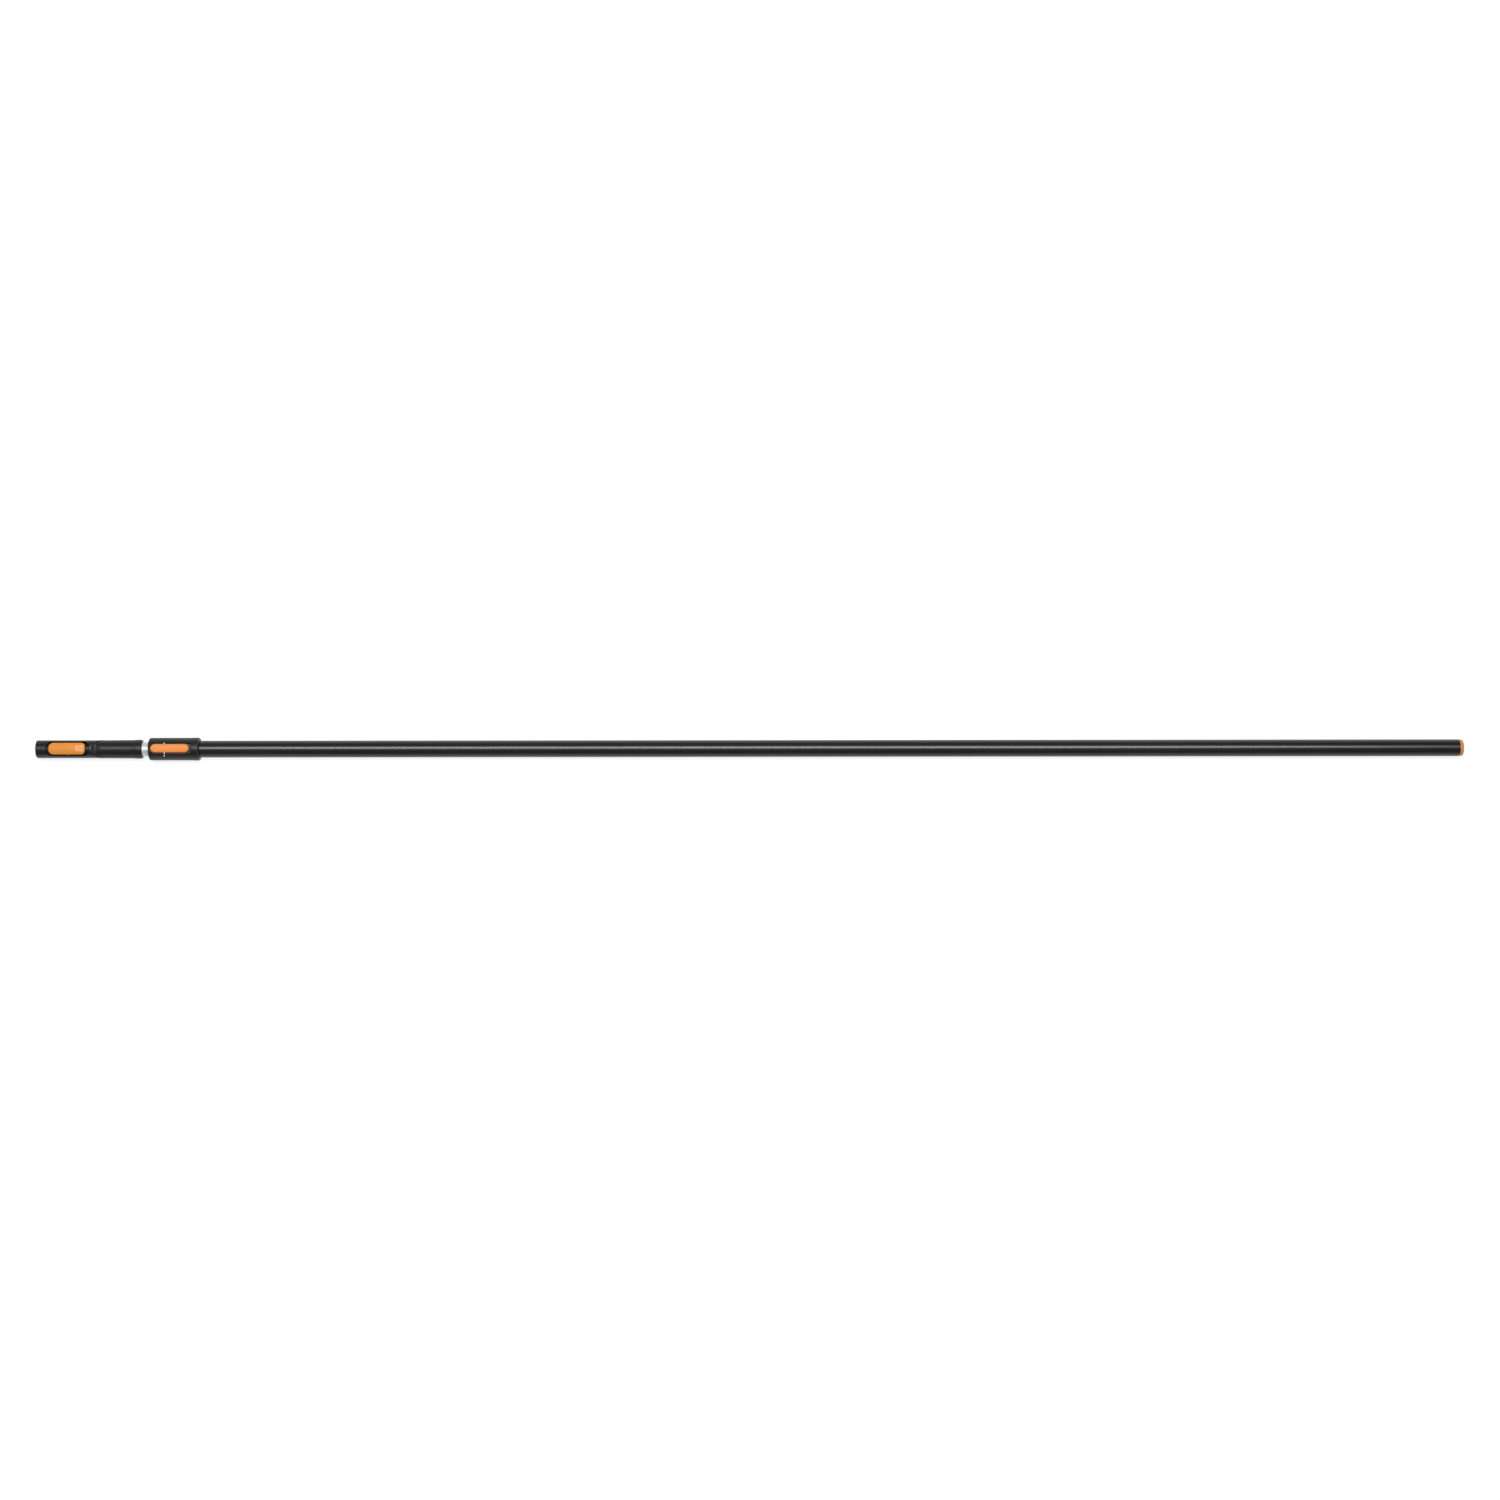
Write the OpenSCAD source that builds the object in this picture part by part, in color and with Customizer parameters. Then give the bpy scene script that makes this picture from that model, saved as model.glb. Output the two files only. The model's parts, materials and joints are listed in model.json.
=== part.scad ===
// Two-section telescopic pole with a push-in socket for clip-on tool heads.
// X runs along the pole: x = 0 is the mouth of the tool socket and +X points to the end cap.
// +Z is the side that carries the release button and the lock lever.

/* [Pole] */
// Overall length with the inner section pushed home
closed_length = 2280; // [2200:10:2600]
// How far the inner section slides out
slide_travel = 1720; // [1000:10:1850]
// Outside diameter of the outer tube
outer_tube_d = 27; // [26.6:0.1:27.4]
// Wall thickness of the outer tube
outer_wall = 1.25; // [1.15:0.05:1.4]
// Wall thickness of the inner tube
inner_wall = 1.2; // [1:0.1:1.4]
// Radial space between the two tubes
tube_gap = 0.75; // [0.65:0.05:0.85]

/* [Tool head] */
// Length of the tool head
head_length = 169; // [160:1:180]
// Width of the tool head at its front
head_width = 27.8; // [27.4:0.1:28.4]
// Extra height of the head on its button side
head_rise = 4; // [3.6:0.1:4.6]
// Diameter of the tool socket
socket_d = 20; // [19.6:0.1:20.2]
// Depth of the tool socket
socket_depth = 88; // [80:1:90]
// Length of the release button
button_length = 58; // [54:1:60]
// Width of the release button
button_width = 19; // [18.4:0.1:19.6]
// How far the release button rocks, in degrees
button_angle = 4.8; // [4:0.1:5]

/* [Lock collar] */
// Length of bare inner tube between the head and the collar
bare_length = 11; // [8:0.5:20]
// Length of the lock collar
collar_length = 80.5; // [80:0.5:90]
// Width of the lock collar
collar_width = 36; // [35.6:0.1:38]
// Extra height of the collar on its lever side
collar_rise = 3; // [2.8:0.1:4]
// Length of the lock lever
lever_length = 61.2; // [60:0.1:62]
// Width of the lock lever
lever_width = 13.7; // [13.2:0.1:14.2]
// How far the lock lever rocks, in degrees
lever_angle = 4.2; // [3:0.1:4.4]

/* [Fits] */
// Radial gap of a running fit
running_gap = 0.05; // [0.02:0.01:0.08]
// Gap round a fixed insert
seat_gap = 0.03; // [0.01:0.01:0.05]
// Gap between a moving piece and what it passes
free_gap = 0.3; // [0.2:0.05:0.4]

/* [Hidden] */
$fn = 96;

// How far a cutting shape runs past the face that it opens
past = 1;

// Tubes
outer_r = outer_tube_d / 2;
outer_bore_r = outer_r - outer_wall;
inner_r = outer_bore_r - tube_gap;
inner_bore_r = inner_r - inner_wall;
// The front end of the outer tube is turned down where it enters the collar
skim = 0.4;
skimmed_r = outer_r - skim;
// Groove along the underside of the inner tube, which stops the head from turning
key_w = 3;
key_depth = 1.1;

// Tool head, from the mouth to its rear rim
head_r = head_width / 2;
head_fillet = 1.8;
socket_r = socket_d / 2;
// The latch works in a slightly wider stretch of the socket
latch_chamber = [22, 35];
latch_chamber_r = socket_r + 0.3;
// Outside radius of the socket's wall under the button
socket_wall_r = socket_r + 1.2;
// Space behind the socket, and the shoulder that the inner tube stands against
head_core = 4;
tube_shoulder = socket_depth + 20;
core_r = 8;
// Slope that takes the raised front down to the round grip
slope_start = socket_depth + 0.5;
slope_run = 17;
slope_drop = 14;
// Thumb scoop, in (x, z): it rises from just inside the foot of the slope to the front of the grip
scoop_z = 13.1;
scoop_floor = [slope_start - 0.4 + (head_r + head_rise - scoop_z) * slope_run / slope_drop, scoop_z];
scoop_top = [slope_start + 14.5, 14.55];
// Grip: radius at its front, at its rear, at the lip and at the rear rim
grip_front = scoop_top[0];
grip_r = [14.45, 14.65, 15.2, 12.6];
lip_x = [head_length - 11, head_length - 8, head_length - 4];

// Release button and the pocket that it rocks in
button_x = 21;
button_end = button_x + button_length;
pocket_x = [button_x - 4, button_end + 5.8];
pocket_w = button_width + 3;
button_corner_r = 7;
pocket_corner_r = button_corner_r + 1.5;
button_crown_z = head_rise - 0.4;
// Its two stub pins, one in each side wall
button_pin_x = button_x + 31;
button_pin_z = socket_r + 0.2;
button_pin_r = 1.1;
button_ear_r = 2;
button_ear_w = 1.6;
// Distances from y = 0 to the inside of an ear, to the root of a pin and to its tip
button_ear_y = button_width / 2 - button_ear_w;
button_pin_y = [button_ear_y + 0.2, 12.3];
// Its underside stands clear of the socket's wall by what its rear end sinks when it is pressed
button_under_r = socket_wall_r + 0.1;
button_under_z = (button_end - button_pin_x) * sin(button_angle) + 0.1;
// Thumb dish at its rear end
dish_x = 63.5;
dish_depth = 1;
dish_rim = 1.6;
// Spring under the thumb dish
button_spring_x = 70;
button_spring_r = 2.9;
button_spring_wire_r = 0.35;
button_spring_z = [socket_wall_r - 0.4, socket_wall_r + 4.8];
spring_pocket_r = 3.6;
// Steel hook under its front end
hook_x = [28, 31, 42];
hook_w = 6;
hook_tip_z = socket_r - 1.6;
hook_leg_z = 12.5;
hook_top_z = button_under_z + button_under_r;
latch_window_w = hook_w + 1.2;
latch_screw_x = 37.5;
latch_screw_r = 1.2;

// Lock collar, from its front face to its rear rim
collar_r = collar_width / 2;
collar_x = head_length + bare_length;
collar_end = collar_x + collar_length;
collar_fillet = 3;
collar_lip_r = collar_r + 0.25;
collar_lip_x = [collar_end - 14, collar_end - 6, collar_end - 2.6];
collar_lip_fillet = 2.6;
// Flat along the underside, on which the pole lies
rest_z = -(collar_r - 0.4);
collar_bore_r = inner_r + free_gap;
wiper_x = [collar_x + 0.4, collar_x + 4.2];
wiper_r = inner_r + 1.7;

// Lock lever, its pocket and its cross pin
lever_x = collar_x + 4.2;
lever_end = lever_x + lever_length;
lever_pin_x = lever_x + lever_length / 3 + 1.3;
lever_pin_z = inner_r + 4;
lever_pin_r = 1.5;
lever_boss_r = 3;
lever_top_z = collar_r + collar_rise;
// Its underside stands clear of the floor by what its rear end sinks when it is pressed
lever_well_z = outer_r + 0.2;
lever_under_z = lever_well_z + (lever_end - lever_pin_x) * sin(lever_angle) + free_gap;
// The pin is driven in from the -Y side, where its end shows, into a hole that is blind at +Y
lever_pin_y = [-12.7, 10.5];
lever_pocket_x = [collar_x + 2, lever_end + 3.4];
lever_pocket_w = lever_width + 3.9;
lever_pocket_z = lever_pin_z;
lever_well_w = lever_width + 0.9;
lever_well_x = [lever_x + 1.1, lever_pin_x + 4];
lever_spring_x = lever_pin_x + 13;
lever_spring_r = 2.9;
lever_spring_wire_r = 0.4;
lever_spring_z = [lever_well_z - 1.2, lever_under_z + 2];
// Brake shoe and pad under its short arm
shoe_x = [lever_x + 2, lever_x + 16];
shoe_w = 12;
shoe_top_z = lever_pin_z - 0.3;
pad_inset = 0.5;
pad_r = [inner_r + 0.04, inner_r + 2];
shoe_tongue_w = 5;
shoe_tongue_top = lever_under_z + 1;
shoe_pin_r = 1;
shoe_pin_z = lever_pin_z + 1;
shoe_pin_x = (shoe_x[0] + shoe_x[1]) / 2;

// Outer tube, its guide bush and the sleeve that stops the slide
tube_front = lever_spring_x + 8;
exposed_x = collar_end + 0.4;
bush_flange = 3;
bush_length = 60;
bush_flange_r = skimmed_r - 0.1;
sleeve_r = inner_r + 0.12;
cap_flange = 6;
tube_end = closed_length - cap_flange;

// Rear end of the inner section
glide_flange = 20;
spigot_length = 32;
cap_plug = 36;
buffer_length = 5;
glide_end = tube_end - cap_plug - buffer_length - free_gap;
glide_x = glide_end - glide_flange;
glide_core_r = 7;
rivet_r = 1.6;
rivet_x = glide_x - spigot_length / 2;
sleeve_end = glide_x - slide_travel - 0.5;

// End cap
cap_r = 13.1;
cap_fillet = 3.8;
cap_plug_wall = 2.2;

// Screws enter from below, one on each side of the key groove
screw_angle = 50;
screw_r = 1.4;
screw_head_r = 2.9;
screw_head_h = 1.7;
screw_recess_r = 1.3;
head_screw_x = head_length - 29;
head_screw_top = 14.2;
collar_screw_x = collar_end - 14.6;
collar_screw_top = collar_r - 0.9;

// Points along an arc
function arc(centre, radius, from, to, steps = 8) = [
    for (i = [0:steps])
        let (angle = from + (to - from) * i / steps)
            centre + radius * [cos(angle), sin(angle)]
];

// Outline of the head in (x, radius), from the mouth to the rear rim
function head_outline() = concat(
    [[0, 0]],
    arc([head_fillet, head_r - head_fillet], head_fillet, 180, 90),
    [
        [grip_front - 7, head_r - 0.1],
        [grip_front, grip_r[0]],
        [head_length - 21, grip_r[1]],
        [lip_x[0], grip_r[1] + 0.25],
        [lip_x[1], grip_r[2]],
        [lip_x[2], grip_r[2]],
        [head_length, grip_r[3]],
        [head_length, 0]
    ]
);

// Outline of the raised front part of the head
function head_front_outline() = concat(
    [[0, 0]],
    arc([head_fillet, head_r - head_fillet], head_fillet, 180, 90),
    [[slope_start + slope_run, head_r], [slope_start + slope_run, 0]]
);

// Outline of the collar, with its flared rear lip
function collar_outline() = concat(
    [[collar_x, 0]],
    arc([collar_x + collar_fillet, collar_r - collar_fillet], collar_fillet, 180, 90),
    [[collar_lip_x[0], collar_r], [collar_lip_x[1], collar_lip_r]],
    arc([collar_lip_x[2], collar_lip_r - collar_lip_fillet], collar_lip_fillet, 90, 0),
    [[collar_end, 0]]
);

// Solid turned about the pole's axis from an outline in (x, radius)
module turned(outline) {
    rotate([90, 0, 90])
        rotate_extrude()
            polygon([for (p = outline) [p[1], p[0]]]);
}

// Turned solid drawn out upwards by a height
module turned_and_raised(outline, height) {
    turned(outline);
    translate([0, 0, height])
        turned(outline);
    linear_extrude(height) {
        polygon(outline);
        mirror([0, 1])
            polygon(outline);
    }
}

// Round bar along X between two places
module rod(from, to, r) {
    translate([from, 0, 0])
        rotate([0, 90, 0])
            cylinder(h = to - from, r = r);
}

// Tube along X between two places
module pipe(from, to, r, bore_r) {
    difference() {
        rod(from, to, r);
        rod(from - past, to + past, bore_r);
    }
}

// Round bar across the pole, centred on y = 0
module cross_rod(x, z, half_length, r) {
    translate([x, 0, z])
        rotate([90, 0, 0])
            cylinder(h = 2 * half_length, r = r, center = true);
}

// Cross-section in the YZ plane drawn along X
module section(from, to) {
    translate([from, 0, 0])
        rotate([90, 0, 90])
            linear_extrude(to - from)
                children();
}

// Side profile in the XZ plane drawn across Y
module side_profile(width) {
    rotate([90, 0, 0])
        linear_extrude(width, center = true)
            children();
}

// Oblong with round ends, from x[0] to x[1]
module oblong(x, width) {
    r = width / 2;
    translate([x[0] + r, -r])
        square([x[1] - x[0] - width, width]);
    for (end = [x[0] + r, x[1] - r])
        translate([end, 0])
            circle(r);
}

// Rectangle with rounded corners, from x[0] to x[1]
module rounded_plate(x, width, r) {
    side = width / 2 - r;
    translate([x[0] + r, -width / 2])
        square([x[1] - x[0] - 2 * r, width]);
    translate([x[0], -side])
        square([x[1] - x[0], 2 * side]);
    for (end = [x[0] + r, x[1] - r], y = [-side, side])
        translate([end, y])
            circle(r);
}

// Box given by its lowest and highest corners
module box(low, high) {
    translate(low)
        cube(high - low);
}

// Helical compression spring standing on z = 0
module coil_spring(mean_r, wire_r, height, turns) {
    sides = 8;
    steps = turns * 16;
    points = [
        for (i = [0:steps], j = [0:sides - 1])
            let (
                turn = 360 * turns * i / steps,
                around = 360 * j / sides,
                r = mean_r + wire_r * cos(around),
                lift = (height - 2 * wire_r) * i / steps
            )
                [r * cos(turn), r * sin(turn), wire_r * (1 + sin(around)) + lift]
    ];
    skin = [
        for (i = [0:steps - 1], j = [0:sides - 1])
            let (k = (j + 1) % sides)
                [i * sides + j, i * sides + k, (i + 1) * sides + k, (i + 1) * sides + j]
    ];
    start = [for (j = [sides - 1:-1:0]) j];
    finish = [for (j = [0:sides - 1]) steps * sides + j];
    polyhedron(points, concat([start], skin, [finish]));
}

// Children placed at both screw positions round the underside
module at_screws(x) {
    for (side = [-1, 1])
        translate([x, 0, 0])
            rotate([side * screw_angle, 0, 0])
                children();
}

// Self-tapping screw driven upwards, with its head's face at a radius and its tip at another
module screw(face_r, tip_r) {
    difference() {
        union() {
            translate([0, 0, -face_r])
                cylinder(h = screw_head_h, r = screw_head_r);
            translate([0, 0, -face_r + screw_head_h - 0.1])
                cylinder(h = face_r - screw_head_h + 0.1 - tip_r, r = screw_r);
        }
        translate([0, 0, -face_r - past])
            cylinder(h = past + 1.1, r = screw_recess_r, $fn = 6);
    }
}

// Hole and counterbore for such a screw, up to a radius
module screw_hole(face_r, tip_r) {
    translate([0, 0, -face_r - 5])
        cylinder(h = 5 + screw_head_h + seat_gap, r = screw_head_r + 0.15);
    translate([0, 0, -face_r])
        cylinder(h = face_r - tip_r, r = screw_r + seat_gap);
}

module outer_tube() {
    color("#2c2c2b")
        difference() {
            union() {
                rod(tube_front, exposed_x, skimmed_r);
                rod(exposed_x, tube_end, outer_r);
            }
            rod(tube_front - past, tube_end + past, outer_bore_r);
            at_screws(collar_screw_x)
                screw_hole(outer_r + 2 * screw_head_h, outer_bore_r - past);
        }
}

module collar_body() {
    color("#262627")
        difference() {
            turned_and_raised(collar_outline(), collar_rise);
            // underside flat
            box([collar_x - past, -collar_r, rest_z - collar_r], [collar_end + past, collar_r, rest_z]);
            // seat of the wiper ring, way for the inner tube, socket of the outer tube
            rod(collar_x - past, wiper_x[1] + seat_gap, wiper_r + seat_gap);
            rod(collar_x, collar_end, collar_bore_r);
            rod(tube_front - bush_flange - seat_gap, collar_end + past, skimmed_r + seat_gap);
            // pocket that shows round the lever
            translate([0, 0, lever_pocket_z])
                linear_extrude(collar_r)
                    oblong(lever_pocket_x, lever_pocket_w);
            // well in which the brake shoe works, and the floor under the long arm
            box(
                [lever_well_x[0], -lever_well_w / 2, 0],
                [lever_well_x[1], lever_well_w / 2, lever_top_z]
            );
            box(
                [lever_well_x[0], -lever_well_w / 2, lever_well_z],
                [lever_pocket_x[1] - past, lever_well_w / 2, lever_top_z]
            );
            // spring seat
            translate([lever_spring_x, 0, lever_spring_z[0]])
                cylinder(h = past * 2, r = spring_pocket_r);
            lever_pin_bar(-collar_r - past, lever_pin_y[1] + 0.1, lever_pin_r + seat_gap);
            at_screws(collar_screw_x)
                screw_hole(collar_screw_top, skimmed_r - past);
        }
}

module wiper_ring() {
    color("#5b5b5e")
        pipe(wiper_x[0], wiper_x[1], wiper_r, inner_r + running_gap);
}

module guide_bush() {
    color("#d8d6cc") {
        difference() {
            union() {
                rod(tube_front - bush_flange, tube_front, bush_flange_r);
                rod(tube_front - past, tube_front + bush_length, outer_bore_r - seat_gap);
            }
            rod(tube_front - 2 * bush_flange, tube_front + bush_length + past, inner_r + running_gap);
        }
        // rib that runs in the key groove
        section(tube_front - bush_flange, tube_front + bush_length)
            translate([-key_w / 2 + 0.15, -inner_r - running_gap * 2])
                square([key_w - 0.3, key_depth - 0.2]);
    }
}

module spacer_sleeve() {
    color("#cfcdc4")
        pipe(tube_front + bush_length + 0.1, sleeve_end, outer_bore_r - seat_gap, sleeve_r);
}

module collar_screws() {
    color("#8d8f92")
        at_screws(collar_screw_x)
            screw(collar_screw_top, outer_bore_r + 0.1);
}

// Round bar at the lever's pivot between two places across the pole
module lever_pin_bar(from, to, r) {
    translate([lever_pin_x, to, lever_pin_z])
        rotate([90, 0, 0])
            cylinder(h = to - from, r = r);
}

module lever_pin() {
    color("#c9cbce")
        lever_pin_bar(lever_pin_y[0], lever_pin_y[1], lever_pin_r);
}

module lever_spring() {
    color("#b8babd")
        translate([lever_spring_x, 0, lever_spring_z[0] + seat_gap])
            coil_spring(
                lever_spring_r,
                lever_spring_wire_r,
                lever_spring_z[1] - lever_spring_z[0] - 2 * seat_gap,
                5
            );
}

module end_cap() {
    color("#d98338")
        difference() {
            union() {
                turned(concat(
                    [[tube_end, 0], [tube_end, cap_r]],
                    arc([closed_length - cap_fillet, cap_r - cap_fillet], cap_fillet, 90, 0),
                    [[closed_length, 0]]
                ));
                rod(tube_end - cap_plug, tube_end + past, outer_bore_r - seat_gap);
            }
            rod(tube_end - cap_plug - past, tube_end, outer_bore_r - cap_plug_wall);
        }
}

module cap_buffer() {
    color("#2f2f30")
        rod(tube_end - cap_plug - buffer_length, tube_end - cap_plug, inner_r);
}

module lock_lever() {
    color("#f0974f")
        difference() {
            intersection() {
                linear_extrude(lever_top_z + past)
                    oblong([lever_x, lever_end], lever_width);
                // crown of the collar, a little proud
                translate([0, 0, collar_rise + 0.2])
                    rod(lever_x, lever_end, collar_r);
                side_profile(lever_width) {
                    translate([lever_x, lever_under_z])
                        square([lever_length, collar_r]);
                    translate([shoe_x[0], shoe_top_z + 0.1])
                        square([shoe_x[1] - shoe_x[0], collar_r]);
                    translate([lever_pin_x, lever_pin_z])
                        circle(lever_boss_r);
                    translate([lever_pin_x - lever_boss_r, lever_pin_z])
                        square([2 * lever_boss_r, lever_boss_r]);
                }
            }
            cross_rod(lever_pin_x, lever_pin_z, lever_width, lever_pin_r + running_gap);
            cross_rod(shoe_pin_x, shoe_pin_z, shoe_w / 2 - 0.5, shoe_pin_r + seat_gap);
            box(
                [shoe_x[0] + 2, -shoe_tongue_w / 2 - 0.1, 0],
                [shoe_x[1] - 2, shoe_tongue_w / 2 + 0.1, shoe_tongue_top + 0.1]
            );
            translate([lever_spring_x, 0, 0])
                cylinder(h = lever_spring_z[1], r = spring_pocket_r);
        }
}

module brake_shoe() {
    color("#a7a9ac")
        difference() {
            union() {
                box([shoe_x[0], -shoe_w / 2, inner_r - 2], [shoe_x[1], shoe_w / 2, shoe_top_z]);
                box(
                    [shoe_x[0] + 2.1, -shoe_tongue_w / 2, shoe_top_z - past],
                    [shoe_x[1] - 2.1, shoe_tongue_w / 2, shoe_tongue_top]
                );
            }
            rod(shoe_x[0] - past, shoe_x[1] + past, pad_r[1] + seat_gap);
            cross_rod(shoe_pin_x, shoe_pin_z, shoe_w, shoe_pin_r + seat_gap);
        }
}

module brake_pad() {
    color("#3a3a3c")
        intersection() {
            pipe(shoe_x[0] + pad_inset, shoe_x[1] - pad_inset, pad_r[1], pad_r[0]);
            box([shoe_x[0], -shoe_w / 2 + pad_inset, 0], [shoe_x[1], shoe_w / 2 - pad_inset, collar_r]);
        }
}

module shoe_pin() {
    color("#c9cbce")
        cross_rod(shoe_pin_x, shoe_pin_z, shoe_w / 2 - 0.6, shoe_pin_r);
}

module inner_tube() {
    web_w = key_w + 2 * inner_wall;
    web_h = key_depth + inner_wall;
    color("#c7c9cc")
        difference() {
            section(tube_shoulder + seat_gap, glide_x - seat_gap)
                difference() {
                    union() {
                        difference() {
                            circle(inner_r);
                            circle(inner_bore_r);
                        }
                        intersection() {
                            circle(inner_r);
                            translate([-web_w / 2, -inner_r])
                                square([web_w, web_h]);
                        }
                    }
                    translate([-key_w / 2, -inner_r - past])
                        square([key_w, key_depth + past]);
                }
            at_screws(head_screw_x)
                screw_hole(inner_r + 2 * screw_head_h, inner_bore_r - past);
            cross_rod(rivet_x, 0, inner_r + past, rivet_r + seat_gap);
        }
}

module head_body() {
    color("#2a2a2b")
        difference() {
            union() {
                turned(head_outline());
                difference() {
                    turned_and_raised(head_front_outline(), head_rise);
                    translate([slope_start, 0, head_r + head_rise])
                        rotate([0, atan(slope_drop / slope_run), 0])
                            translate([0, -head_r - past, 0])
                                cube([2 * slope_run, 2 * head_r + 2 * past, 2 * head_r]);
                }
            }
            // thumb scoop
            side_profile(2 * (head_r + past))
                polygon([
                    scoop_floor,
                    scoop_top,
                    [scoop_top[0], head_r + head_rise + past],
                    [scoop_floor[0] - 2.5, head_r + head_rise + past]
                ]);
            // tool socket, latch chamber, buffer seat, core and the seat of the inner tube
            rod(-past, socket_depth, socket_r);
            rod(latch_chamber[0], latch_chamber[1], latch_chamber_r);
            rod(socket_depth - past, socket_depth + 2, core_r);
            rod(socket_depth + head_core, tube_shoulder + past, core_r);
            rod(tube_shoulder, head_length + past, inner_r + seat_gap);
            // pocket of the release button, down to the socket's wall
            difference() {
                linear_extrude(2 * head_r)
                    rounded_plate(pocket_x, pocket_w, pocket_corner_r);
                rod(0, head_length, socket_wall_r);
            }
            // window for the hook
            box(
                [hook_x[0] - 2, -latch_window_w / 2, 0],
                [hook_x[1] + 3, latch_window_w / 2, head_r]
            );
            translate([button_spring_x, 0, button_spring_z[0]])
                cylinder(h = past * 2, r = spring_pocket_r);
            button_pin_pair([button_ear_y, head_r + past], button_pin_r + seat_gap);
            at_screws(head_screw_x)
                screw_hole(head_screw_top, inner_r - past);
        }
}

module head_screws() {
    color("#8d8f92")
        at_screws(head_screw_x)
            screw(head_screw_top, inner_bore_r - 0.8);
}

// Short bar on each side of the socket at the button's pivot, between two distances from y = 0
module button_pin_pair(y, r) {
    for (side = [-1, 1])
        translate([button_pin_x, side * (y[0] + y[1]) / 2, button_pin_z])
            rotate([90, 0, 0])
                cylinder(h = y[1] - y[0], r = r, center = true);
}

module button_pins() {
    color("#c9cbce")
        button_pin_pair(button_pin_y, button_pin_r);
}

module button_spring() {
    color("#b8babd")
        translate([button_spring_x, 0, button_spring_z[0] + seat_gap])
            coil_spring(
                button_spring_r,
                button_spring_wire_r,
                button_spring_z[1] - button_spring_z[0] - 2 * seat_gap,
                4
            );
}

module socket_buffer() {
    color("#3a3a3c")
        rod(socket_depth + 0.2, socket_depth + 2, core_r - seat_gap);
}

module glide_bush() {
    color("#d8d6cc")
        difference() {
            union() {
                rod(glide_x, glide_end, outer_bore_r - running_gap);
                rod(glide_x - spigot_length, glide_x + past, inner_bore_r - seat_gap);
            }
            rod(glide_x - spigot_length - past, glide_end + past, glide_core_r);
            // room for the inside of the key groove
            box(
                [glide_x - spigot_length - past, -key_w, -inner_r],
                [glide_x - seat_gap, key_w, -inner_r + key_depth + inner_wall + 0.1]
            );
            cross_rod(rivet_x, 0, inner_r, rivet_r + seat_gap);
        }
}

module glide_rivet() {
    color("#a7a9ac")
        cross_rod(rivet_x, 0, inner_r - 0.1, rivet_r);
}

module release_button() {
    color("#e8964a")
        difference() {
            union() {
                intersection() {
                    linear_extrude(2 * head_r)
                        rounded_plate([button_x, button_end], button_width, button_corner_r);
                    translate([0, 0, button_crown_z])
                        rod(button_x, button_end, head_r);
                    difference() {
                        box([button_x, -button_width, 0], [button_end, button_width, 2 * head_r]);
                        translate([0, 0, button_under_z])
                            rod(button_x - past, button_end + past, button_under_r);
                    }
                }
                // ears that hang from the sides and carry the stub pins
                for (side = [-1, 1])
                    translate([0, side * (button_width - button_ear_w) / 2, 0])
                        side_profile(button_ear_w) {
                            translate([button_pin_x, button_pin_z])
                                circle(button_ear_r);
                            translate([button_pin_x - button_ear_r, button_pin_z])
                                square([2 * button_ear_r, button_ear_r]);
                        }
            }
            button_pin_pair([button_ear_y, head_r], button_pin_r + running_gap);
            // thumb dish, behind a straight step
            intersection() {
                linear_extrude(2 * head_r)
                    rounded_plate(
                        [button_x + dish_rim, button_end - dish_rim],
                        button_width - 2 * dish_rim,
                        button_corner_r - dish_rim
                    );
                difference() {
                    box([dish_x, -button_width, button_pin_z], [button_end, button_width, 2 * head_r]);
                    translate([0, 0, button_crown_z - dish_depth])
                        rod(dish_x - past, button_end + past, head_r);
                }
            }
            translate([button_spring_x, 0, 0])
                cylinder(h = button_spring_z[1], r = spring_pocket_r);
            translate([latch_screw_x, 0, 0])
                cylinder(h = hook_top_z + 2, r = latch_screw_r + seat_gap);
        }
}

module latch_hook() {
    slope = 1.5;
    color("#b4b7ba")
        difference() {
            side_profile(hook_w)
                polygon([
                    [hook_x[0], hook_top_z],
                    [hook_x[0], hook_tip_z + slope],
                    [hook_x[0] + slope, hook_tip_z],
                    [hook_x[1], hook_tip_z],
                    [hook_x[1], hook_leg_z],
                    [hook_x[2], hook_leg_z],
                    [hook_x[2], hook_top_z]
                ]);
            // the button's underside is round
            difference() {
                box([0, -head_r, hook_leg_z], [button_spring_x, head_r, 2 * head_r]);
                translate([0, 0, button_under_z])
                    rod(-past, button_spring_x + past, button_under_r - seat_gap);
            }
            translate([latch_screw_x, 0, 0])
                cylinder(h = 2 * head_r, r = latch_screw_r + seat_gap);
        }
}

module latch_screw() {
    head_h = 0.9;
    color("#8d8f92")
        translate([latch_screw_x, 0, hook_leg_z - head_h]) {
            cylinder(h = head_h, r = 2 * latch_screw_r);
            cylinder(h = hook_top_z + 2 - hook_leg_z + head_h - seat_gap, r = latch_screw_r);
        }
}

outer_tube();
collar_body();
wiper_ring();
guide_bush();
spacer_sleeve();
collar_screws();
lever_pin();
lever_spring();
end_cap();
cap_buffer();
lock_lever();
brake_shoe();
brake_pad();
shoe_pin();
inner_tube();
head_body();
head_screws();
button_pins();
button_spring();
socket_buffer();
glide_bush();
glide_rivet();
release_button();
latch_hook();
latch_screw();
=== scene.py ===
"""Looks of the telescopic pole: its pieces as meshes, procedural materials, light and camera."""

import json
import math

import bpy
import numpy as np
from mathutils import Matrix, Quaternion, Vector


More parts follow.
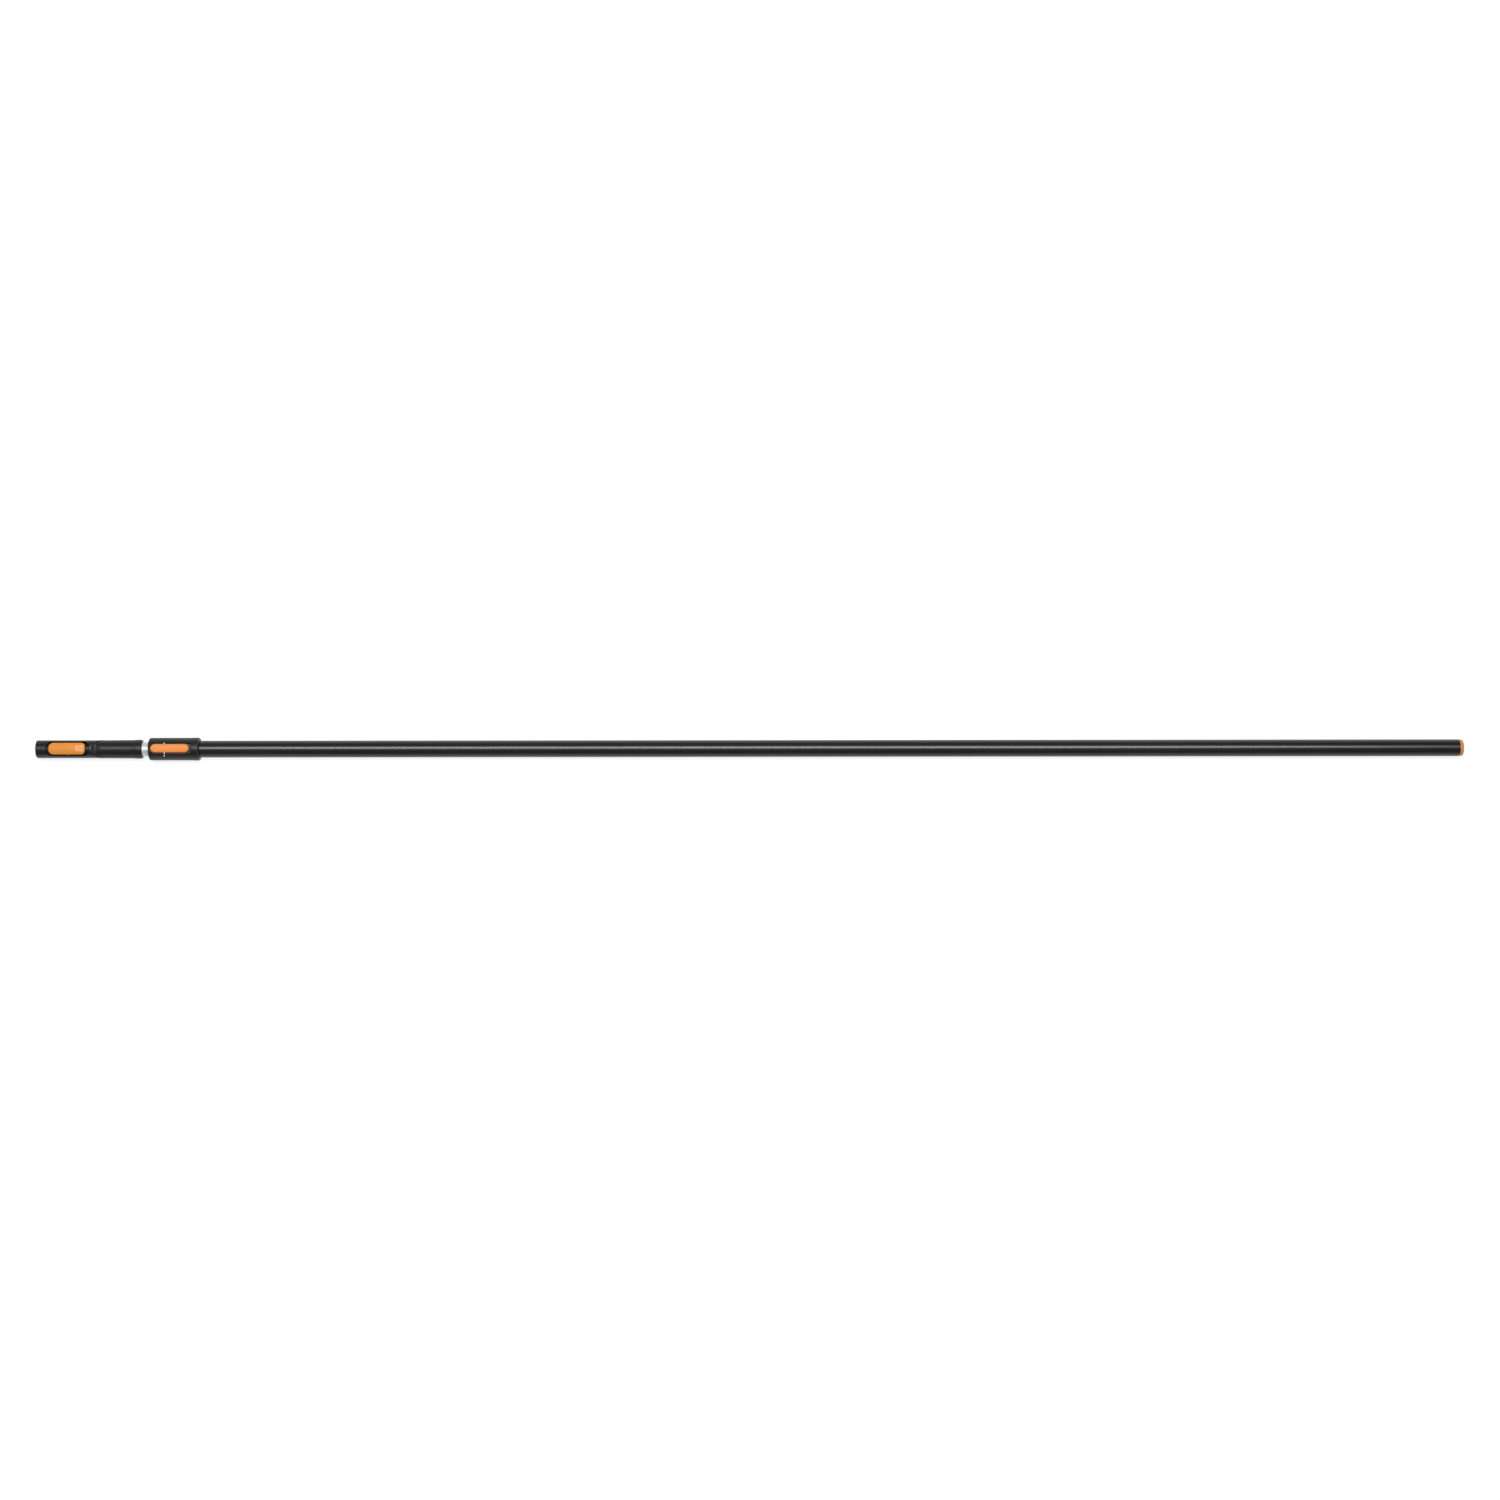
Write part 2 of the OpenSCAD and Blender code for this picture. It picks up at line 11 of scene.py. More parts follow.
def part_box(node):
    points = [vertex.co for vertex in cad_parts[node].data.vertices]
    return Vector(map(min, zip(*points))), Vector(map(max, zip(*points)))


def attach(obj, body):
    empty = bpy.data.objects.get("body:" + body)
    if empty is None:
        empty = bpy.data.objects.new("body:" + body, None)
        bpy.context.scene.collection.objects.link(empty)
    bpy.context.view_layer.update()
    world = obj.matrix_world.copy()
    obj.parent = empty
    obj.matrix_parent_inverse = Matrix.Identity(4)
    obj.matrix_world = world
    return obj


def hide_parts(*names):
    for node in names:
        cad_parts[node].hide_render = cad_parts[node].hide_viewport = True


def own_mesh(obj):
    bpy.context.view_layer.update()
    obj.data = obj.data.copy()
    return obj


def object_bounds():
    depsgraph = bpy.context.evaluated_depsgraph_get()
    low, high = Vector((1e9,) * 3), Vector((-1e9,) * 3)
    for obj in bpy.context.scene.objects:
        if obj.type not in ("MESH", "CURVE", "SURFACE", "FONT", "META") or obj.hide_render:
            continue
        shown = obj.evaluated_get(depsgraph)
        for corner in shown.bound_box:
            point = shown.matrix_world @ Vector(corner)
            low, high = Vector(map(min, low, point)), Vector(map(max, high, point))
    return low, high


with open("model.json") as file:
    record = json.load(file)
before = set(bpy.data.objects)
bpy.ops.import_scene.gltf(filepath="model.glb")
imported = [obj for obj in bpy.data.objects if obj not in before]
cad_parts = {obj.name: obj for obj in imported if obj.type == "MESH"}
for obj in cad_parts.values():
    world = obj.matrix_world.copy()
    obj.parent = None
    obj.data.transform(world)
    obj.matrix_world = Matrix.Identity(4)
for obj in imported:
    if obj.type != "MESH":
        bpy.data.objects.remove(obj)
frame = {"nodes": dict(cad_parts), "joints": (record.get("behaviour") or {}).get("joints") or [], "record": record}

CAD_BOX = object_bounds()
MM = 0.001

joints = {joint["name"]: joint for joint in frame["joints"]}
mounts = {mount["name"]: mount for mount in frame["record"]["mounts"]}


def box_mm(node):
    """Lowest and highest corner of a CAD node, in mm."""
    low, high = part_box(node)
    return np.array(low) / MM, np.array(high) / MM


def pivot_mm(joint):
    """Pivot of a hinge in mm."""
    return np.array(joints[joint]["pos_m"]) / MM


# ---------------------------------------------------------------- sizes in mm, from the frame

HEAD_HIGH = box_mm("head_body")[1]
COLLAR_LOW, COLLAR_HIGH = box_mm("collar_body")
BUTTON_LOW, BUTTON_HIGH = box_mm("release_button")
LEVER_LOW, LEVER_HIGH = box_mm("lock_lever")
TUBE_LOW, TUBE_HIGH = box_mm("outer_tube")
INNER_LOW, INNER_HIGH = box_mm("inner_tube")
WIPER_LOW, WIPER_HIGH = box_mm("wiper_ring")
CAP_LOW, CAP_HIGH = box_mm("end_cap")
BUSH_LOW, BUSH_HIGH = box_mm("guide_bush")
SHOE_LOW, SHOE_HIGH = box_mm("brake_shoe")
HOOK_LOW, HOOK_HIGH = box_mm("latch_hook")
LEVER_SPRING_LOW, LEVER_SPRING_HIGH = box_mm("lever_spring")
BUTTON_SPRING_LOW, BUTTON_SPRING_HIGH = box_mm("button_spring")
PIN_HIGH = box_mm("lever_pin")[1]
HEAD_SCREW_X = sum(box_mm("head_screws"))[0] / 2
COLLAR_SCREW_X = sum(box_mm("collar_screws"))[0] / 2
LEVER_PIVOT = pivot_mm("lever_rock")
BUTTON_PIVOT = pivot_mm("button_rock")


def rear_drop(joint, rear_x):
    """How far the rear end of a rocking piece sinks when it is pressed, in mm."""
    return (rear_x - pivot_mm(joint)[0]) * math.sin(math.radians(joints[joint]["range_deg"][1]))


TUBE_R = mounts["tube_clamp"]["dims"]["r_mm"]
SOCKET_R = mounts["tool_socket"]["dims"]["r_mm"]
INNER_R = INNER_HIGH[1]
BUSH_R = BUSH_HIGH[1]
SEAT_GAP = 0.03
RUNNING_GAP = 0.05
SPRING_POCKET_R = 3.6
# How far a cut reaches past the end that it opens
PAST_END = 5

# Tubes: walls, what the outer one is turned down by inside the collar, key groove of the inner one
OUTER_WALL = 1.25
SKIMMED_R = TUBE_R - 0.4
INNER_WALL = 1.2
INNER_TUBE_ROOM = 0.3
KEY_HALF = 1.5
KEY_DEPTH = 1.1

# Tool head
HEAD_R = 13.9
HEAD_RISE = 4
HEAD_FILLET = 1.8
GRIP_END_FILLET = 2.6
SOCKET_END = 88
SLOPE_START = SOCKET_END + 0.5
SLOPE_ANGLE = math.atan2(14, 17)
SCOOP_Z = 13.1
SCOOP_X = SLOPE_START + (HEAD_R + HEAD_RISE - SCOOP_Z) / math.tan(SLOPE_ANGLE)
GRIP_START = SLOPE_START + 14.5
SCOOP_ANGLE = math.atan2(1.45, GRIP_START - SCOOP_X)
SCOOP_FRONT_ANGLE = math.radians(65)
# Where the grip starts and stops growing thicker, and by how much
GRIP_GROWTH = ((GRIP_START - 7, GRIP_START, 0.55), (GRIP_START, 148, 0.2), (150, 162, 0.55))
# Wider stretch of the socket in which the latch works: start, end and radius
CHAMBER = (22, 35, 10.3)
SOCKET_WALL_R = 11.2
# Web between the socket's recess and the core behind it
WEB = (SOCKET_END + 2, SOCKET_END + 4)
CORE_R = 8
BUTTON_GAP = 1.5
BUTTON_POCKET = (BUTTON_LOW[0] - 4, BUTTON_HIGH[0] + 5.8)
BUTTON_POCKET_W = 2 * (BUTTON_HIGH[1] + BUTTON_GAP)
BUTTON_CORNER_R = 7
HOOK_WINDOW = (HOOK_LOW[0] - 2, HOOK_LOW[0] + 17)
HOOK_WINDOW_HALF = HOOK_HIGH[1] + 0.6

# Lock collar
COLLAR_R = 18
COLLAR_RISE = 3
COLLAR_FILLET = 3
# Where the rear lip starts and stops growing, and by how much
COLLAR_LIP = (COLLAR_HIGH[0] - 14, COLLAR_HIGH[0] - 6, 0.25)
COLLAR_LIP_FILLET = 2.6
LEVER_POCKET = (COLLAR_LOW[0] + 2, LEVER_HIGH[0] + 3.4)
LEVER_POCKET_W = 2 * LEVER_HIGH[1] + 3.9
WELL = (LEVER_LOW[0] + 1.1, LEVER_PIVOT[0] + 4)
WELL_HALF = LEVER_HIGH[1] + 0.45
WELL_FLOOR = TUBE_R + 0.2

# Undersides of the lever and the button, clear of what they sink towards
LEVER_UNDER = WELL_FLOOR + rear_drop("lever_rock", LEVER_HIGH[0]) + 0.3
LEVER_ARM_UNDER = LEVER_PIVOT[2] - 0.2
BUTTON_UNDER_R = SOCKET_WALL_R + 0.1
BUTTON_UNDER_RISE = rear_drop("button_rock", BUTTON_HIGH[0]) + 0.1
LEVER_EDGE = 1.8
BUTTON_EDGE = 1.6

# Pins, and what turns on them
LEVER_PIN_R = 1.5
LEVER_BOSS_R = 3
SHOE_PIN_R = 1
SHOE_PIN_HALF = 5.5
SHOE_PIN_RISE = 1
TONGUE_HALF = 2.6
STUB_PIN_R = 1.1
EAR_R = 2
EAR_INSIDE = BUTTON_HIGH[1] - 1.6
LATCH_SCREW_R = 1.2
LATCH_SCREW_X = HOOK_LOW[0] + 9.5

# Thumb rest of the button: where it starts, its depth, its fall towards the rear, and the rim round it
THUMB_REST_X = BUTTON_PIVOT[0] + 11.5
THUMB_REST_DEPTH = 0.85
THUMB_REST_FALL = 0.03
THUMB_REST_RIM = 1.6

# Screws enter from below, one on each side of the inner tube's key groove
SCREW_ANGLE = math.radians(50)
SCREW_R = 1.4
COUNTERBORE_R = 3.05
HEAD_SCREW_SEAT = 12.47
COLLAR_SCREW_SEAT = 15.37


# ---------------------------------------------------------------- solids as fields, negative inside

def ramp(x, start, end):
    """0 before start, 1 after end, smooth between them."""
    t = np.clip((x - start) / (end - start), 0, 1)
    return t * t * (3 - 2 * t)


def both(a, b, r):
    """What two solids share, with its edge rounded to a radius."""
    if r == 0:
        return np.maximum(a, b)
    return np.minimum(np.maximum(a, b), -r) + np.hypot(np.maximum(a + r, 0), np.maximum(b + r, 0))


def join(a, b, r):
    """Two solids together, with a fillet between them."""
    return -both(-a, -b, r)


def cut(solid, tool, r):
    """A solid with a tool's shape taken out of it and the opening's edge rounded."""
    return both(solid, -tool, r)


def slab(u, low, high):
    """Layer between two planes."""
    return np.maximum(low - u, u - high)


def rod(x, y, z, start, end, r):
    """Round bar on the pole's axis."""
    return np.maximum(np.hypot(y, z) - r, slab(x, start, end))


def oblong(x, y, span, width, corner=None):
    """Upright oblong seen from above, with round ends or with rounded corners."""
    r = width / 2 if corner is None else corner
    along = np.abs(x - (span[0] + span[1]) / 2) - (span[1] - span[0]) / 2 + r
    across = np.abs(y) - width / 2 + r
    inner = np.minimum(np.maximum(along, across), 0)
    return np.hypot(np.maximum(along, 0), np.maximum(across, 0)) + inner - r


def below_line(x, z, at_x, at_z, angle):
    """Space under a plane that passes a place in the side view and rises at an angle."""
    return (z - at_z) * math.cos(angle) - (x - at_x) * math.sin(angle)


def raised_round(y, z, rise, r):
    """Round section drawn out upwards by a rise."""
    return np.hypot(y, z - np.clip(z, 0, rise)) - r


def cross_bar(x, z, at, r):
    """Round bar across the pole through a place."""
    return np.hypot(x - at[0], z - at[2]) - r


def cross_boss(x, z, at, r):
    """Boss across the pole: half round below a place and straight above it."""
    return np.hypot(x - at[0], np.minimum(z - at[2], 0)) - r


def spring_well(x, y, low, high):
    """Upright round well about a spring's box."""
    return np.hypot(x - (low[0] + high[0]) / 2, y) - SPRING_POCKET_R


def screw_holes(x, y, z, at, seat, inside):
    """Shank holes and counterbores of a pair of screws round the underside."""
    holes = []
    for side in (-1, 1):
        outwards = side * y * math.sin(SCREW_ANGLE) - z * math.cos(SCREW_ANGLE)
        across = side * y * math.cos(SCREW_ANGLE) + z * math.sin(SCREW_ANGLE)
        off = np.hypot(x - at, across)
        shank = np.maximum(off - SCREW_R - SEAT_GAP, inside - outwards)
        counterbore = np.maximum(off - COUNTERBORE_R, seat - outwards)
        holes.append(np.minimum(shank, counterbore))
    return np.minimum(*holes)


def head_field(x, y, z):
    """Tool head: raised socket end, thumb scoop, round grip and rear lip."""
    r = HEAD_R + sum(growth * ramp(x, start, end) for start, end, growth in GRIP_GROWTH)
    raised = raised_round(y, z, HEAD_RISE, HEAD_R)
    raised = both(raised, below_line(x, z, SLOPE_START, HEAD_R + HEAD_RISE, -SLOPE_ANGLE), 1.2)
    solid = join(raised, np.hypot(y, z) - r, 1.2)
    solid = both(solid, -x, HEAD_FILLET)
    solid = both(solid, x - HEAD_HIGH[0], GRIP_END_FILLET)
    scoop_floor = below_line(x, z, SCOOP_X, SCOOP_Z, SCOOP_ANGLE)
    scoop_front = -below_line(x, z, SCOOP_X, SCOOP_Z, -SCOOP_FRONT_ANGLE)
    solid = cut(solid, both(-scoop_floor, scoop_front, 0.7), 0.6)
    # socket with its wider latch chamber, core, and the seat of the inner tube
    solid = cut(solid, rod(x, y, z, -PAST_END, SOCKET_END, SOCKET_R), 0.7)
    solid = cut(solid, rod(x, y, z, *CHAMBER), 0.15)
    solid = cut(solid, rod(x, y, z, SOCKET_END - 1, WEB[0], CORE_R), 0.2)
    solid = cut(solid, rod(x, y, z, WEB[1], INNER_LOW[0] + 1, CORE_R), 0.2)
    solid = cut(solid, rod(x, y, z, INNER_LOW[0], HEAD_HIGH[0] + PAST_END, INNER_R + SEAT_GAP), 0.4)
    # pocket of the button, with the socket's wall standing in it
    pocket = oblong(x, y, BUTTON_POCKET, BUTTON_POCKET_W, BUTTON_CORNER_R + BUTTON_GAP)
    pocket = np.maximum(pocket, -z)
    solid = cut(solid, both(pocket, SOCKET_WALL_R - np.hypot(y, z), 0.4), 0.9)
    # window of the hook, spring seat, pin holes, screws
    window = np.maximum(slab(x, *HOOK_WINDOW), np.abs(y) - HOOK_WINDOW_HALF)
    solid = cut(solid, np.maximum(window, -z), 0.3)
    well = spring_well(x, y, BUTTON_SPRING_LOW, BUTTON_SPRING_HIGH)
    solid = cut(solid, np.maximum(well, BUTTON_SPRING_LOW[2] - SEAT_GAP - z), 0.3)
    pins = cross_bar(x, z, BUTTON_PIVOT, STUB_PIN_R + SEAT_GAP)
    solid = cut(solid, np.maximum(pins, EAR_INSIDE - np.abs(y)), 0.2)
    return cut(solid, screw_holes(x, y, z, HEAD_SCREW_X, HEAD_SCREW_SEAT, INNER_R - 1), 0.3)


def collar_field(x, y, z):
    """Lock collar: raised lever side, flat underside, flared rear lip, pocket and well of the lever."""
    lip_start, lip_end, lip_growth = COLLAR_LIP
    r = COLLAR_R + lip_growth * ramp(x, lip_start, lip_end)
    solid = raised_round(y, z, COLLAR_RISE, r)
    solid = both(solid, COLLAR_LOW[2] - z, 0.6)
    solid = both(solid, COLLAR_LOW[0] - x, COLLAR_FILLET)
    solid = both(solid, x - COLLAR_HIGH[0], COLLAR_LIP_FILLET)
    # seat of the wiper ring, way of the inner tube, socket of the outer tube
    wiper_end = WIPER_HIGH[0] + SEAT_GAP
    wiper_seat = rod(x, y, z, COLLAR_LOW[0] - PAST_END, wiper_end, WIPER_HIGH[1] + SEAT_GAP)
    solid = cut(solid, wiper_seat, 0.6)
    solid = cut(solid, rod(x, y, z, COLLAR_LOW[0], COLLAR_HIGH[0], INNER_R + INNER_TUBE_ROOM), 0.2)
    socket_start = BUSH_LOW[0] - SEAT_GAP
    tube_socket = rod(x, y, z, socket_start, COLLAR_HIGH[0] + PAST_END, SKIMMED_R + SEAT_GAP)
    solid = cut(solid, tube_socket, 0.5)
    # pocket that shows round the lever, well of the brake shoe, floor under the long arm
    pocket = both(oblong(x, y, LEVER_POCKET, LEVER_POCKET_W), LEVER_PIVOT[2] - z, 0.5)
    solid = cut(solid, pocket, 1.1)
    shoe_well = np.maximum(slab(x, *WELL), -z)
    long_floor = np.maximum(slab(x, WELL[0], LEVER_POCKET[1] - 1), WELL_FLOOR - z)
    solid = cut(solid, both(np.minimum(shoe_well, long_floor), np.abs(y) - WELL_HALF, 0.3), 0.3)
    # spring seat, pin hole that is blind at +Y, screws
    well = spring_well(x, y, LEVER_SPRING_LOW, LEVER_SPRING_HIGH)
    solid = cut(solid, np.maximum(well, LEVER_SPRING_LOW[2] - SEAT_GAP - z), 0.3)
    pin = cross_bar(x, z, LEVER_PIVOT, LEVER_PIN_R + SEAT_GAP)
    solid = cut(solid, np.maximum(pin, y - PIN_HIGH[1] - 0.1), 0.35)
    return cut(solid, screw_holes(x, y, z, COLLAR_SCREW_X, COLLAR_SCREW_SEAT, BUSH_R - 1), 0.4)


def lever_field(x, y, z):
    """Lock lever: crowned oblong plate with a short arm over the brake shoe and a boss on the cross pin."""
    plan = oblong(x, y, (LEVER_LOW[0], LEVER_HIGH[0]), 2 * LEVER_HIGH[1])
    crown = np.hypot(y, z - LEVER_HIGH[2] + COLLAR_R) - COLLAR_R
    plate = LEVER_UNDER - z
    arm = np.maximum(slab(x, SHOE_LOW[0], SHOE_HIGH[0]), LEVER_ARM_UNDER - z)
    boss = cross_boss(x, z, LEVER_PIVOT, LEVER_BOSS_R)
    body = join(join(plate, arm, 0.5), boss, 0.5)
    solid = both(both(plan, crown, LEVER_EDGE), body, 0.5)
    solid = cut(solid, cross_bar(x, z, LEVER_PIVOT, LEVER_PIN_R + RUNNING_GAP), 0.15)
    # hole of the shoe's pin, slot of the shoe's tongue, pocket of the spring
    shoe_pin_at = ((SHOE_LOW[0] + SHOE_HIGH[0]) / 2, 0, LEVER_PIVOT[2] + SHOE_PIN_RISE)
    shoe_pin = cross_bar(x, z, shoe_pin_at, SHOE_PIN_R + SEAT_GAP)
    solid = cut(solid, np.maximum(shoe_pin, np.abs(y) - SHOE_PIN_HALF), 0.1)
    tongue = np.maximum(slab(x, SHOE_LOW[0] + 2, SHOE_HIGH[0] - 2), np.abs(y) - TONGUE_HALF)
    solid = cut(solid, np.maximum(tongue, z - SHOE_HIGH[2] - 0.1), 0.2)
    well = spring_well(x, y, LEVER_SPRING_LOW, LEVER_SPRING_HIGH)
    return cut(solid, np.maximum(well, z - LEVER_SPRING_HIGH[2] - SEAT_GAP), 0.2)


def button_field(x, y, z):
    """Release button: crowned shell over the socket's wall, with a thumb rest behind a straight step."""
    plan = oblong(x, y, (BUTTON_LOW[0], BUTTON_HIGH[0]), 2 * BUTTON_HIGH[1], BUTTON_CORNER_R)
    crown = np.hypot(y, z - BUTTON_HIGH[2] + HEAD_R) - HEAD_R
    underside = np.maximum(BUTTON_UNDER_R - np.hypot(y, z - BUTTON_UNDER_RISE), -z)
    ear = np.maximum(cross_boss(x, z, BUTTON_PIVOT, EAR_R), z - BUTTON_PIVOT[2] - EAR_R)
    ear = np.maximum(ear, EAR_INSIDE - np.abs(y))
    solid = both(both(plan, crown, BUTTON_EDGE), np.minimum(underside, ear), 0.3)
    pin = cross_bar(x, z, BUTTON_PIVOT, STUB_PIN_R + RUNNING_GAP)
    solid = cut(solid, np.maximum(pin, EAR_INSIDE - np.abs(y)), 0.1)
    # thumb rest: nearly flat, sinking a little towards the rear, inside a rim
    rest_z = BUTTON_HIGH[2] - THUMB_REST_DEPTH - THUMB_REST_FALL * (x - THUMB_REST_X)
    span = (BUTTON_LOW[0] + THUMB_REST_RIM, BUTTON_HIGH[0] - THUMB_REST_RIM)
    half = BUTTON_HIGH[1] - THUMB_REST_RIM
    rest = oblong(x, y, span, 2 * half, BUTTON_CORNER_R - THUMB_REST_RIM)
    rest = np.maximum(np.maximum(rest, THUMB_REST_X - x), rest_z - z)
    solid = cut(solid, rest, 0.45)
    # pocket of the spring, hole of the hook's screw
    well = spring_well(x, y, BUTTON_SPRING_LOW, BUTTON_SPRING_HIGH)
    solid = cut(solid, np.maximum(well, z - BUTTON_SPRING_HIGH[2] - SEAT_GAP), 0.15)
    screw = np.hypot(x - LATCH_SCREW_X, y) - LATCH_SCREW_R - SEAT_GAP
    return cut(solid, np.maximum(screw, z - HOOK_HIGH[2] - 2), 0.1)


# ---------------------------------------------------------------- meshes

SETTLING_STEPS = 3
SLOPE_REACH = 0.02
FLATTEST_SLOPE = 0.2


def make_piece(name, points, faces, normals, look, body, nodes, slot):
    """A smooth mesh from points in mm, riding on a body and standing for CAD nodes."""
    mesh = bpy.data.meshes.new(name)
    mesh.from_pydata((np.asarray(points) * MM).tolist(), [], [list(map(int, f)) for f in faces])
    mesh.update()
    mesh.polygons.foreach_set("use_smooth", [True] * len(mesh.polygons))
    mesh.normals_split_custom_set_from_vertices(np.asarray(normals).tolist())
    mesh.materials.append(look)
    piece = bpy.data.objects.new(name, mesh)
    bpy.context.scene.collection.objects.link(piece)
    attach(piece, body)
    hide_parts(*nodes)
    return piece


def gradient(field, p, reach):
    """Slope of a field at points, by central differences."""
    slopes = []
    for axis in np.eye(3) * reach:
        ahead = field(*(p + axis).T)
        behind = field(*(p - axis).T)
        slopes.append((ahead - behind) / (2 * reach))
    return np.stack(slopes, axis=1)


def surface(field, low, high, step):
    """Points, quads and normals of the surface on which a field is zero, one point to a cell."""
    low = np.asarray(low, float)
    step = np.asarray(step, float)
    shape = np.ceil((np.asarray(high) - low) / step).astype(int) + 1
    x, y, z = (low[d] + step[d] * np.arange(shape[d]) for d in range(3))
    value = np.broadcast_to(field(x[:, None, None], y[None, :, None], z[None, None, :]), shape)
    cells = shape - 1
    total = np.zeros((*cells, 3))
    count = np.zeros(cells)
    edges = []
    for d in range(3):
        first = np.take(value, range(cells[d]), axis=d)
        second = np.take(value, range(1, shape[d]), axis=d)
        crossed = (first < 0) != (second < 0)
        share = np.where(crossed, first / np.where(crossed, first - second, 1), 0)
        a, b = (o for o in range(3) if o != d)
        for u in (0, 1):
            for v in (0, 1):
                window = [slice(None)] * 3
                window[a] = slice(u, u + cells[a])
                window[b] = slice(v, v + cells[b])
                hit = crossed[tuple(window)]
                count += hit
                total[..., d] += share[tuple(window)]
                total[..., a] += hit * u
                total[..., b] += hit * v
        edges.append((crossed, first < 0, a, b))
    active = count > 0
    number = np.full(cells, -1)
    number[active] = np.arange(active.sum())
    points = low + (np.argwhere(active) + total[active] / count[active][:, None]) * step
    quads = []
    for d, (crossed, inside, a, b) in enumerate(edges):
        at = np.argwhere(crossed)
        at = at[(at[:, a] > 0) & (at[:, b] > 0) & (at[:, a] < cells[a]) & (at[:, b] < cells[b])]
        ring = []
        for u, v in ((1, 1), (0, 1), (0, 0), (1, 0)):
            corner = at.copy()
            corner[:, a] -= u
            corner[:, b] -= v
            ring.append(number[tuple(corner.T)])
        faces = np.stack(ring, axis=1)
        turned = inside[tuple(at.T)] == (d == 1)
        faces[turned] = faces[turned][:, ::-1]
        quads.append(faces)
    # a few short steps down the slope put the points on the surface itself
    limit = 0.4 * step.min()
    for _ in range(SETTLING_STEPS):
        slope = gradient(field, points, SLOPE_REACH)
        off = field(*points.T) / np.maximum((slope**2).sum(axis=1), FLATTEST_SLOPE)
        points = points - np.clip(off, -limit, limit)[:, None] * slope
    # a wider reach for the normals smooths the shading over the folds
    slope = gradient(field, points, 0.45 * step.min())
    normals = slope / np.linalg.norm(slope, axis=1, keepdims=True)
    return points, np.concatenate(quads), normals


def rounded(corners, radii, steps=5):
    """Points and outward normals along a closed outline that runs anticlockwise, its corners rounded."""
    points, normals = [], []
    count = len(corners)
    for i in range(count):
        before, here, after = (np.array(corners[(i + k) % count], float) for k in (-1, 0, 1))
        into, out = here - before, after - here
        length = min(np.linalg.norm(into), np.linalg.norm(out))
        into, out = into / np.linalg.norm(into), out / np.linalg.norm(out)
        turn = math.atan2(into[0] * out[1] - into[1] * out[0], into @ out)
        side = np.array([into[1], -into[0]])
        reach = min(radii[i] * math.tan(abs(turn) / 2), 0.45 * length)
        if reach < 1e-6:
            bend = [turn / 2]
            r = 0
        else:
            bend = [turn * k / steps for k in range(steps + 1)]
            r = math.copysign(reach / math.tan(abs(turn) / 2), turn)
        centre = here - into * reach - side * r
        for angle in bend:
            c, s = math.cos(angle), math.sin(angle)
            normal = np.array([c * side[0] - s * side[1], s * side[0] + c * side[1]])
            points.append(centre + normal * r)
            normals.append(normal)
    return points, normals


def turned(corners, radii, sides, steps):
    """Points, faces and normals of a solid turned about X from an outline in (x, radius)."""
    points, normals, rings, faces = [], [], [], []
    angles = [2 * math.pi * k / sides for k in range(sides)]
    for (x, r), (nx, nr) in zip(*rounded(corners, radii, steps)):
        count = 1 if r < 1e-6 else sides
        rings.append([len(points) + k % count for k in range(sides)])
        for angle in angles[:count]:
            points.append((x, r * math.cos(angle), r * math.sin(angle)))
            normals.append((nx, nr * math.cos(angle), nr * math.sin(angle)) if r > 1e-6 else (nx, 0, 0))
    for a, b in zip(rings, rings[1:] + rings[:1]):
        for k in range(sides):
            quad = dict.fromkeys((a[k], b[k], b[(k + 1) % sides], a[(k + 1) % sides]))
            if len(quad) > 2:
                faces.append(list(quad))
    return points, faces, normals


def drawn(outer, inner, start, end):
    """Points, faces and normals of a tube drawn along X between two matched outlines in (y, z)."""
    points, normals, faces = [], [], []
    (outer_points, outer_normals), (inner_points, inner_normals) = rounded(*outer), rounded(*inner)
    count = len(outer_points)
    for outline, directions, sign in ((outer_points, outer_normals, 1), (inner_points, inner_normals, -1)):
        base = len(points)
        for x in (start, end):
            points += [(x, p[0], p[1]) for p in outline]
            normals += [(0, sign * n[0], sign * n[1]) for n in directions]
        for k in range(count):
            n = (k + 1) % count
            faces.append([base + k, base + n, base + count + n, base + count + k][::sign])
    for x, sign in ((start, -1), (end, 1)):
        base = len(points)
        for outline in (outer_points, inner_points):
            points += [(x, p[0], p[1]) for p in outline]
            normals += [(sign, 0, 0)] * count
        for k in range(count):
            n = (k + 1) % count
            faces.append([base + k, base + n, base + count + n, base + count + k][::sign])
    return points, faces, normals


def keyed_round(r, half_width, key_z, count=96, corner_r=0.15):
    """Round outline with a flat-bottomed key groove in its underside, and the radii of its corners."""
    edge = math.asin(half_width / r)
    angles = np.linspace(edge - math.pi / 2, 1.5 * math.pi - edge, count)
    arc = [(r * math.cos(a), r * math.sin(a)) for a in angles]
    corners = arc + [(-half_width, key_z), (half_width, key_z)]
    return corners, [corner_r] + [0] * (count - 2) + [corner_r] * 3


